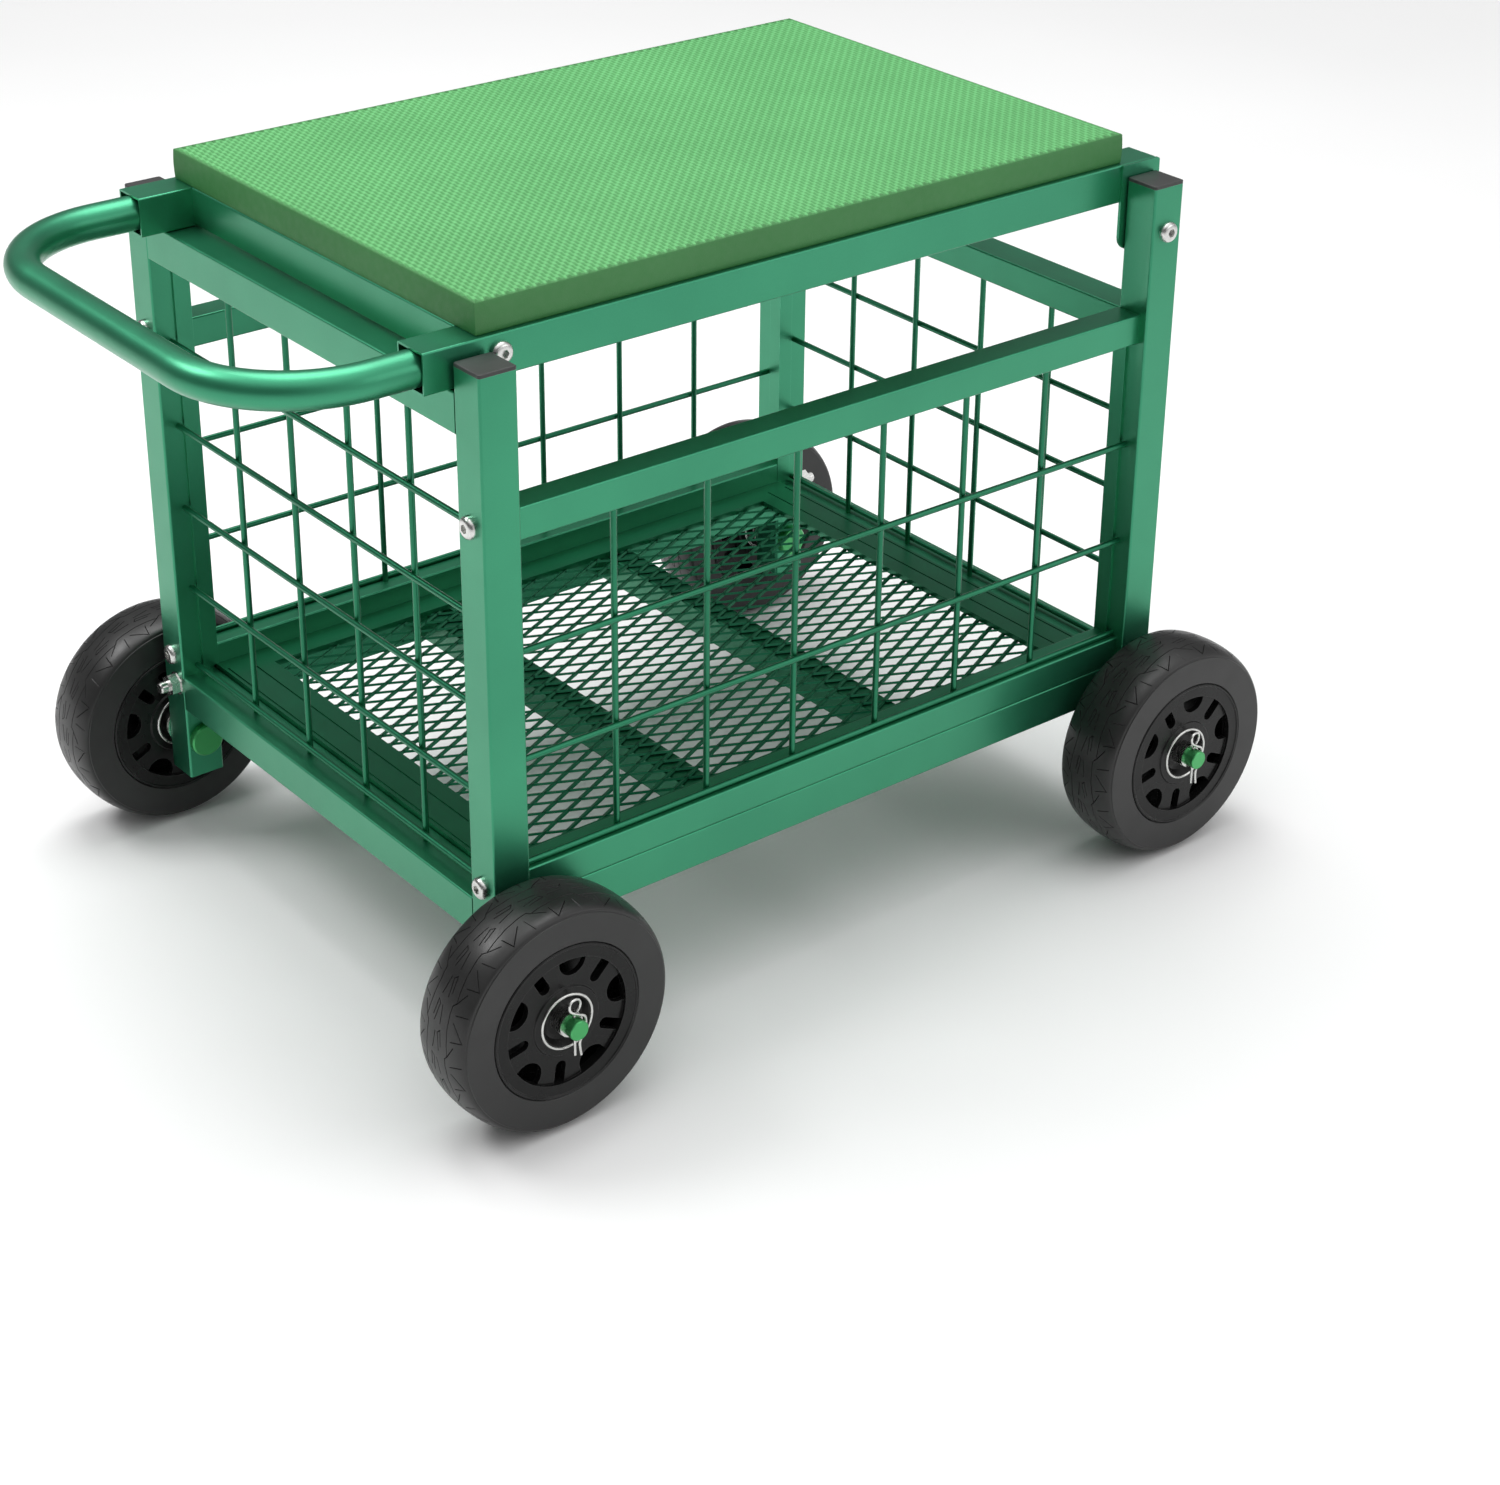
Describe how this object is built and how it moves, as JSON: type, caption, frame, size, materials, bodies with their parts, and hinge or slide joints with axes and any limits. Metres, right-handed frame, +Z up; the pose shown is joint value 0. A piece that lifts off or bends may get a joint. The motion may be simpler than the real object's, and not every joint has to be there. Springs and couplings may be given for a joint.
{
  "type": "rolling garden seat",
  "caption": "Wheeled steel garden seat with a padded hinged lid over a wire basket and a pull-out handle that turns it into a cart.",
  "frame": {"origin": "on the floor under the middle of the bounding box, handle pushed in and lid closed", "axes": "+X towards the lid hinge, -X towards the handle, -Y the side with the near panel, +Z up"},
  "size_m": [0.728, 0.5244, 0.4925],
  "materials": {
    "frame_paint": "satin",
    "wire_paint": "satin",
    "pad_foam": "matte",
    "cap_plastic": "matte",
    "tyre_rubber": "matte",
    "hub_plastic": "satin",
    "bright_steel": "polished"
  },
  "bodies": {
    "frame": {"axle_far_handle": "frame_paint", "axle_far_hinge": "frame_paint", "axle_near_handle": "frame_paint", "axle_near_hinge": "frame_paint", "axle_washers": "bright_steel", "base_rail_far": "frame_paint", "base_rail_near": "frame_paint", "corner_edging": "frame_paint", "cross_rail_handle_lower": "frame_paint", "cross_rail_handle_upper": "frame_paint", "cross_rail_hinge_lower": "frame_paint", "cross_rail_hinge_upper": "frame_paint", "floor_bars": "frame_paint", "floor_border": "frame_paint", "floor_mesh": "wire_paint", "foot_bolts": "bright_steel", "frame_bolts": "bright_steel", "hairpin_clips": "bright_steel", "panel_rail_far_bottom": "frame_paint", "panel_rail_far_top": "frame_paint", "panel_rail_near_bottom": "frame_paint", "panel_rail_near_top": "frame_paint", "pivot_bolts": "bright_steel", "post_caps": "cap_plastic", "post_far_handle": "frame_paint", "post_far_hinge": "frame_paint", "post_near_handle": "frame_paint", "post_near_hinge": "frame_paint", "wire_panel_far": "wire_paint", "wire_panel_handle": "wire_paint", "wire_panel_hinge": "wire_paint", "wire_panel_near": "wire_paint"},
    "lid": {"hinge_plate_far": "frame_paint", "hinge_plate_near": "frame_paint", "lid_bars": "frame_paint", "lid_tube_far": "frame_paint", "lid_tube_near": "frame_paint", "lock_screws": "bright_steel", "seat_pad": "pad_foam"},
    "handle": {"handle_tube": "frame_paint"},
    "wheel_far_handle": {"bushing_far_handle": "bright_steel", "hub_far_handle": "hub_plastic", "hub_rings_far_handle": "bright_steel", "tyre_far_handle": "tyre_rubber"},
    "wheel_far_hinge": {"bushing_far_hinge": "bright_steel", "hub_far_hinge": "hub_plastic", "hub_rings_far_hinge": "bright_steel", "tyre_far_hinge": "tyre_rubber"},
    "wheel_near_handle": {"bushing_near_handle": "bright_steel", "hub_near_handle": "hub_plastic", "hub_rings_near_handle": "bright_steel", "tyre_near_handle": "tyre_rubber"},
    "wheel_near_hinge": {"bushing_near_hinge": "bright_steel", "hub_near_hinge": "hub_plastic", "hub_rings_near_hinge": "bright_steel", "tyre_near_hinge": "tyre_rubber"}
  },
  "joints": [
    {"name": "lid_hinge", "type": "hinge", "parent": "frame", "child": "lid", "pos_m": [0.288, 0, 0.4328], "axis": [0, 1, 0], "range_deg": [0, 141]},
    {"name": "handle_slide", "type": "slide", "parent": "lid", "child": "handle", "axis": [-1, 0, 0], "range_m": [0, 0.165]},
    {"name": "wheel_spin_near_handle", "type": "hinge", "parent": "frame", "child": "wheel_near_handle", "pos_m": [-0.2235, -0.2267, 0.076], "axis": [0, 1, 0], "continuous": true},
    {"name": "wheel_spin_far_handle", "type": "hinge", "parent": "frame", "child": "wheel_far_handle", "pos_m": [-0.2235, 0.2267, 0.076], "axis": [0, 1, 0], "continuous": true},
    {"name": "wheel_spin_near_hinge", "type": "hinge", "parent": "frame", "child": "wheel_near_hinge", "pos_m": [0.288, -0.2267, 0.076], "axis": [0, 1, 0], "continuous": true},
    {"name": "wheel_spin_far_hinge", "type": "hinge", "parent": "frame", "child": "wheel_far_hinge", "pos_m": [0.288, 0.2267, 0.076], "axis": [0, 1, 0], "continuous": true}
  ]
}
